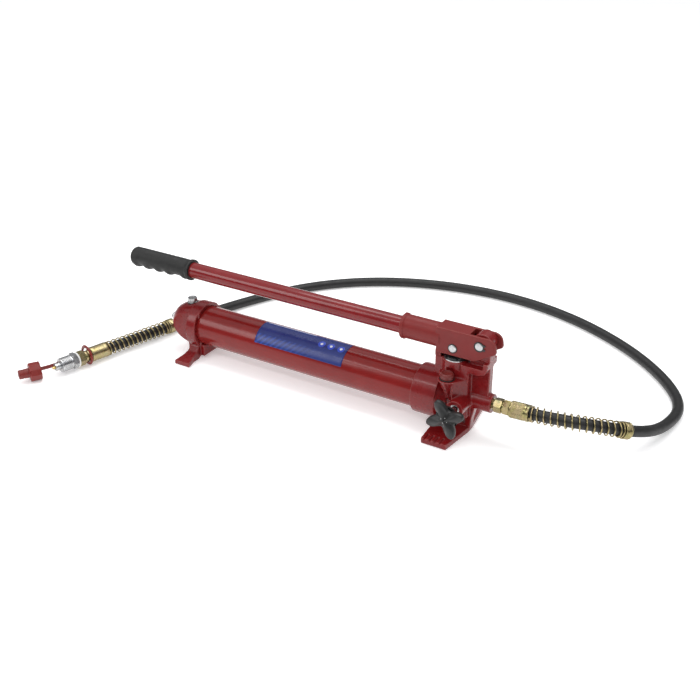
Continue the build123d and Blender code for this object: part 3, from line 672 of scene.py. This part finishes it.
strap_side = tail_dir.cross(Vector((0, 0, 1)))  # away from the pump
strap_line = []
STRAP_Z = 9.0
for along, out in [(LOOP_ALONG, 11.6), (151, 13.8), (155, 15.8), (162, 17.4), (175, 18.2), (190, 18.4),
                   (200, 19.2), (208, 20.6), (214, 21.9), (218.3, 23.0)]:
    spot = tail_start + tail_dir * along + strap_side * out
    strap_line.append((spot.x * MM, spot.y * MM, STRAP_Z * MM))
cap_band = place(
    strap("cap_band", strap_line, 5.8 * MM, 2.2 * MM, red_soft),
    "root", "red_plastic", "cap_strap",
)

# --- outlet fittings ---------------------------------------------------------------------
outlet = Vector((0, 0, 51)) * MM
place(
    turned("nipple", outlet, X_AXIS,
           [(44.0, 7.9), (56.8, 7.9), (57.0, 6.4), (59.8, 6.4)] + hex_profile(*NIPPLE_HEX[1:])
           + [(71.0, 7.2)],
           yellow_zinc, shape=hexagonal(*NIPPLE_HEX, turn=0.2), around=144),
    "root", "yellow_zinc", "outlet_nipple",
)
place(
    turned("swivel", outlet, X_AXIS,
           [(70.9, 6.8), (71.1, 7.5), (72.8, 7.5)] + hex_profile(*SWIVEL_HEX[1:]) + [(82.0, 7.6)],
           yellow_zinc, shape=hexagonal(*SWIVEL_HEX, turn=0.55), around=144),
    "root", "yellow_zinc", "hose_nut",
)


def knurl(s, r, a):
    """Two crossing sets of fine grooves."""
    teeth = 40
    lead = s * 0.55
    one = np.abs(((a * teeth / (2 * math.pi) + lead) % 1.0) * 2 - 1)
    two = np.abs(((a * teeth / (2 * math.pi) - lead) % 1.0) * 2 - 1)
    depth = np.clip(np.minimum(s - 2.0, 20.5 - s) / 0.8, 0, 1)
    return r - 0.42 * depth * (1 - np.minimum(one, two)) ** 1.5


swage_start = Vector((82, 0, 51))
swage_axis = hose_route[0] - swage_start
swage_length = swage_axis.length
place(
    turned("outlet_swage", swage_start * MM, swage_axis,
           [(0.0, 8.2), (0.0, 10.7), (0.7, 11.4)] + [(s, 11.5) for s in steps(1.2, 21.0, 0.35)]
           + [(21.6, 11.1), (22.6, 11.1), (23.2, 11.5), (swage_length - 0.7, 11.5), (swage_length, 10.9),
              (swage_length, 8.2)],
           yellow_zinc, shape=knurl, around=320),
    "root", "yellow_zinc", "outlet_ferrule",
)

# --- castings ----------------------------------------------------------------------------
place(casting("head_casting", "pump_body", red_head), "root", "red_paint", "pump_body")
place(casting("rear_casting", "end_cap", red_head), "root", "red_paint", "end_cap")
place(casting("yoke_casting", "yoke", red_yoke, passes=4), "lever", "red_yoke", "yoke")

# --- label -------------------------------------------------------------------------------
label_low, label_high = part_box("label")
LABEL_RADIUS = 30.3 * MM
AXIS_Z = 46.0 * MM
LABEL_FROM, LABEL_TO = math.radians(22.5), math.radians(104.0)  # from level at the front, over the top
label_length = label_high[0] - label_low[0]
across_count, along_count = 40, 60
label_verts, label_uv = [], []
for i in range(along_count + 1):
    for k in range(across_count + 1):
        angle = LABEL_FROM + (LABEL_TO - LABEL_FROM) * k / across_count
        label_verts.append((
            label_low[0] + label_length * i / along_count,
            -LABEL_RADIUS * math.cos(angle),
            AXIS_Z + LABEL_RADIUS * math.sin(angle),
        ))
        label_uv.append((i / along_count, k / across_count))
row = across_count + 1
label_faces = [
    (i * row + k, (i + 1) * row + k, (i + 1) * row + k + 1, i * row + k + 1)
    for i in range(along_count)
    for k in range(across_count)
]
label_print = label_material(label_length / MM, (LABEL_TO - LABEL_FROM) * LABEL_RADIUS / MM)
label_patch = finished("label_patch", label_verts, label_faces, label_print, uv=label_uv)
film = label_patch.modifiers.new("film", "SOLIDIFY")
film.thickness = 0.22 * MM
film.offset = -1.0
place(label_patch, "root", "label_film", "label")

# --- head's small parts --------------------------------------------------------------------
relief = Vector((0, -25.5, 0)) * MM
place(
    turned("relief_button", relief, Z_AXIS,
           [(84.0, 4.9), (86.3, 4.9), (86.4, 9.0), (86.8, 9.2), (91.6, 9.0), (93.0, 8.5), (93.8, 7.6),
            (94.0, 6.8), (93.5, 6.0), (93.2, 0.05)],
           red_cap, up=X_AXIS),
    "root", "red_plastic", "relief_cap",
)
filler = Vector((-444.5, 0, 0)) * MM
place(
    turned("filler_bolt", filler, Z_AXIS,
           [(66.0, 3.5)] + [(s, 3.9) for s in steps(66.5, 78.5, 0.3)]
           + [(78.9, 7.2), (79.2, 7.6), (79.9, 7.5), (80.3, 6.6)] + hex_profile(*FILLER_HEX[1:])
           + [(86.0, 4.6), (85.6, 4.2), (85.6, 0.05)],
           zinc, up=X_AXIS, around=144, shape=hexagon_only(*FILLER_HEX)),
    "filler_screw", "zinc", "filler_plug",
)
place(
    turned("rod_nut", Vector((0, 0, 46)) * MM, X_AXIS,
           [(ROD_NUT_HEX[1], 4.05)] + hex_profile(*ROD_NUT_HEX[1:]) + [(ROD_NUT_HEX[2], 4.05)],
           zinc, around=144, ring=True, shape=hexagon_only(*ROD_NUT_HEX)),
    "root", "zinc", "tie_rod_nut",
)


def pin(name, x, z):
    """A turned pin with a black collar against the front cheek: painted shade for the gap round the pin in
    the cheek's hole.
    """
    bare_radius = 6.0 * MM  # everything further out is the collar
    piece = turned(name, Vector((x, 0, z)) * MM, (0.0, -1.0, 0.0),
                   [(-14.4, 0.05), (-14.4, 4.6), (-13.7, 5.5), (-12.9, 5.55), (13.0, 5.55), (13.02, 6.5),
                    (13.5, 6.5), (13.52, 5.4), (13.8, 5.4), (14.3, 4.7), (14.4, 4.3), (14.25, 3.9),
                    (14.25, 0.05)],
                   steel)
    # the collar's faces take black_oxide: a painted shade ring where the pin enters the front cheek
    piece.data.materials.append(black_oxide)
    for face in piece.data.polygons:
        spots = [piece.data.vertices[v].co for v in face.vertices]
        if any(math.hypot(c.x - x * MM, c.z - z * MM) > bare_radius for c in spots):
            face.material_index = 1
    return piece


place(pin("pivot_pin_turned", 37.0, 136.3), "lever", "zinc", "pivot_pin")
place(pin("plunger_pin_turned", 0.0, 124.0), "lever", "zinc", "plunger_pin")

# --- release knob ----------------------------------------------------------------------------
KNOB_X, KNOB_Z = 19.0, 51.0


def knob_mesh():
    """Four rounded lobes round a hub, dished on the front; its axis is square to the front."""
    around, first = 240, math.radians(25)
    waist, reach = 13.8, 14.7  # radius between the lobes, and how much further a lobe goes
    tip = 28.5
    rim, hub = 2.2, 15.6
    face_y, back_y, hub_y = 74.0, 62.0, 58.0
    angle = np.linspace(0, 2 * math.pi, around, endpoint=False)
    lobe = (0.5 + 0.5 * np.cos(4 * (angle - first))) ** 1.35
    outline = waist + reach * lobe
    rows = []
    for f in (0.02, 0.08, 0.18, 0.3, 0.42, 0.54, 0.66, 0.78, 0.88):
        r = (outline - rim) * f
        hollow = (1 - lobe ** 0.55) * 8.0 * np.clip(r / 15.0, 0, 1) ** 0.8
        fall = 4.2 * (r / tip) ** 2
        dish = 0.4 * np.exp(-((r - 6.0) / 3.0) ** 2)
        rows.append((r, face_y - hollow - fall - dish))
    edge_r, edge_y = outline - rim, rows[-1][1]
    back = back_y + 2.0 * (outline / tip) ** 2 * lobe
    mid = (edge_y + back) / 2
    half = np.maximum((edge_y - back) / 2, 1.4)
    for k in range(9):
        turn = math.pi * k / 8
        rows.append((edge_r + rim * math.sin(turn), mid + half * math.cos(turn)))
    for f in (0.9, 0.75, 0.6):
        rows.append((np.maximum(edge_r * f, hub), back))
    rows.append((np.full(around, hub), np.minimum(back, back_y)))
    for radius, y in ((hub - 0.2, hub_y + 0.5), (hub - 0.8, hub_y), (4.7, hub_y)):
        rows.append((np.full(around, radius), np.full(around, y)))
    verts = []
    for r, y in rows:
        for k in range(around):
            verts.append(((KNOB_X + r[k] * math.cos(angle[k])) * MM, -y[k] * MM,
                          (KNOB_Z + r[k] * math.sin(angle[k])) * MM))
    front_face = tuple(range(around))
    return verts, row_faces(len(rows), around) + [front_face]


knob_verts, knob_faces = knob_mesh()
knob = finished("knob", knob_verts, knob_faces, knob_plastic, crease=60.0)
place(knob, "release_valve", "black_plastic", "release_knob")

# --- grip ---------------------------------------------------------------------------------------
HANDLE_Z = 132.5
crests = (-543.0, -522.0, -501.0, -480.0, -449.5)  # between the finger hollows


def grip_shape(s, r, a):
    """Finger hollows underneath and fine ribs over the top, on the grip's outside only."""
    outside = r > 12.5
    under = np.clip((-np.sin(a) - 0.05) / 0.75, 0, 1)
    under = under * under * (3 - 2 * under)
    wave = sum(np.exp(-np.abs((s - c) / 6.6) ** 2.2) for c in crests)
    body = (s > -549.0) & (s < -443.5)
    ease = np.clip(np.minimum(s + 550.0, -442.5 - s) / 5.0, 0, 1)
    finger = under * ease * (2.9 * wave - 1.4)
    over = np.clip((np.sin(a) + 0.1) / 0.5, 0, 1)
    ribbed = np.clip(np.minimum(s + 541.0, -455.0 - s) / 3.0, 0, 1)
    rib = 0.16 * np.cos(2 * math.pi * s / 1.9) * over * ribbed
    return np.where(outside & body, r + finger + rib, r)


grip_profile = (
    [(-548.0, 12.0), (-548.0, 0.05), (-554.0, 0.05), (-554.0, 6.5), (-553.6, 9.0), (-552.4, 11.4),
     (-551.0, 13.0), (-549.5, 14.0)]
    + [(s, 14.4) for s in steps(-548.5, -446.5, 0.45)]
    + [(-445.0, 14.6), (-443.6, 15.2), (-442.6, 15.8), (-441.0, 16.0), (-439.0, 16.0), (-438.3, 15.7),
       (-438.0, 15.0), (-438.0, 12.0)]
)
place(
    turned("grip", Vector((0, 0, HANDLE_Z)) * MM, X_AXIS, grip_profile, grip_rubber, shape=grip_shape,
           around=120, ring=True, crease=50.0),
    "lever", "black_rubber", "handle_grip",
)

# --- hose --------------------------------------------------------------------------------------
place(hose, "root", "black_rubber", "hose")

# --- floor and light ------------------------------------------------------------------------------
HALF_SIDE = 15.0
BELOW = 0.3 * MM  # the floor lies this far below the feet
floor_mesh = bpy.data.meshes.new("floor")
corners = [(HALF_SIDE * x, HALF_SIDE * y, 0) for x, y in ((-1, -1), (1, -1), (1, 1), (-1, 1))]
floor_mesh.from_pydata(corners, [], [(0, 1, 2, 3)])
floor = bpy.data.objects.new("floor", floor_mesh)
bpy.context.scene.collection.objects.link(floor)
pale = Shader("floor_pale")
floor_tint = pale.ramp(pale.noise(3.0, 3.0), (0.3, 0.90), (0.7, 0.92))
floor_gloss = pale.ramp(pale.noise(40.0), (0.3, 0.6), (0.7, 0.7))
floor_mesh.materials.append(pale.finish(floor_tint, floor_gloss))
pale.set(Emission_Color=(1.0, 1.0, 1.0, 1.0), Emission_Strength=0.35)
floor.location.z = -BELOW


def area_light(name, location, target, size, size_y, power):
    """A rectangular lamp turned towards a target."""
    light = bpy.data.lights.new(name, "AREA")
    light.shape = "RECTANGLE"
    light.size, light.size_y = size, size_y
    light.energy = power
    lamp = bpy.data.objects.new(name, light)
    lamp.location = location
    lamp.rotation_mode = "QUATERNION"
    lamp.rotation_quaternion = (Vector(target) - Vector(location)).to_track_quat("-Z", "Y")
    bpy.context.scene.collection.objects.link(lamp)


area_light("overhead", (-0.2, 0.5, 2.2), (-0.2, 0.0, 0.0), 2.6, 0.9, 26.0)
area_light("strip", (-0.3, -1.5, 2.0), (-0.2, 0.0, 0.1), 3.0, 0.25, 12.0)
area_light("front_left", (-1.9, -1.8, 1.5), (-0.2, 0.0, 0.05), 1.0, 1.0, 12.0)
sky = bpy.data.lights.new("sky", "SUN")
sky.energy = 1.5
sky.angle = math.radians(120)
sky_lamp = bpy.data.objects.new("sky", sky)
bpy.context.scene.collection.objects.link(sky_lamp)
world = bpy.data.worlds.new("studio")
bpy.context.scene.world = world
world.use_nodes = True
background = world.node_tree.nodes["Background"]
background.inputs["Color"].default_value = (0.93, 0.95, 1.0, 1.0)
background.inputs["Strength"].default_value = 0.22
